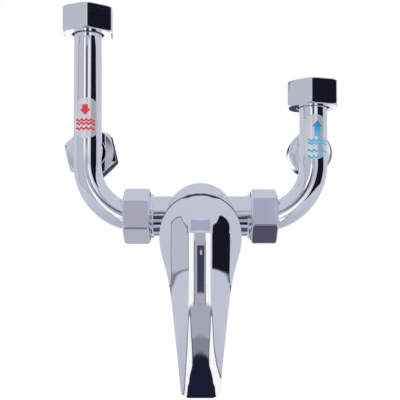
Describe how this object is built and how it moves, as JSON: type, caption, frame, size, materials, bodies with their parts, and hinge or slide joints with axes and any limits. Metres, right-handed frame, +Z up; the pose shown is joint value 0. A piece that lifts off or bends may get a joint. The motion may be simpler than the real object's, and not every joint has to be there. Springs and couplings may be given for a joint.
{
  "type": "water heater mixer valve",
  "caption": "Exposed single-lever mixer valve with two bent risers, hexagon union nuts, rear wall connections and a shower outlet below, for an electric storage water heater.",
  "frame": {"origin": "midpoint between the two wall connections, on the plane of their mouths, which is the wall's face", "axes": "+X towards the cold side, +Y into the wall, +Z up along the risers"},
  "size_m": [0.1851, 0.0873, 0.2516],
  "materials": {
    "polished_chrome": "mirror polished chrome plate",
    "bare_brass": "machined",
    "washer_rubber": "moulded",
    "cartridge_plastic": "moulded",
    "ceramic": "lapped",
    "stainless_steel": "turned",
    "label_film": "silvery gloss film"
  },
  "bodies": {
    "valve": {"valve_body": "polished_chrome", "hot_riser": "polished_chrome", "cold_riser": "polished_chrome", "hot_top_collar": "bare_brass", "cold_top_collar": "bare_brass", "hot_top_washer": "washer_rubber", "cold_top_washer": "washer_rubber", "hot_body_collar": "bare_brass", "cold_body_collar": "bare_brass", "hot_body_washer": "washer_rubber", "cold_body_washer": "washer_rubber", "hot_body_nut": "polished_chrome", "cold_body_nut": "polished_chrome", "hot_wall_tailpiece": "polished_chrome", "hot_wall_washer": "washer_rubber", "cold_wall_socket": "polished_chrome", "cartridge_shell": "cartridge_plastic", "cartridge_base": "cartridge_plastic", "base_seals": "washer_rubber", "fixed_disc": "ceramic", "cartridge_nut": "bare_brass", "bonnet": "polished_chrome", "bonnet_seal": "washer_rubber", "hot_label": "label_film", "cold_label": "label_film"},
    "guide": {"spindle_guide": "cartridge_plastic", "pivot_pin": "stainless_steel"},
    "lever": {"spindle": "bare_brass", "lever_handle": "polished_chrome", "handle_screw": "stainless_steel"},
    "disc": {"moving_disc": "ceramic", "disc_carrier": "cartridge_plastic"},
    "hot_top_union": {"hot_top_nut": "polished_chrome"},
    "cold_top_union": {"cold_top_nut": "polished_chrome"},
    "hot_wall_union": {"hot_wall_nut": "polished_chrome"}
  },
  "joints": [
    {"name": "temperature_swivel", "type": "hinge", "parent": "valve", "child": "guide", "pos_m": [0, -0.06, -0.047], "axis": [0, -1, 0], "range_deg": [-50, 50]},
    {"name": "lever_lift", "type": "hinge", "parent": "guide", "child": "lever", "pos_m": [0, -0.06, -0.047], "axis": [-1, 0, 0], "range_deg": [0, 25]},
    {"name": "disc_slide", "type": "slide", "parent": "guide", "child": "disc", "axis": [0, 0, -1], "range_m": [0, 0.0036]},
    {"name": "hot_top_swivel", "type": "hinge", "parent": "valve", "child": "hot_top_union", "pos_m": [-0.075, -0.028, 0.0855], "axis": [0, 0, 1], "continuous": true},
    {"name": "cold_top_swivel", "type": "hinge", "parent": "valve", "child": "cold_top_union", "pos_m": [0.075, -0.028, 0.0365], "axis": [0, 0, 1], "continuous": true},
    {"name": "hot_wall_swivel", "type": "hinge", "parent": "valve", "child": "hot_wall_union", "pos_m": [-0.075, -0.0085, 0], "axis": [0, 1, 0], "continuous": true}
  ],
  "couplings": [
    {"joint": "disc_slide", "follows": "lever_lift", "m_per_rad": 0.007937}
  ]
}
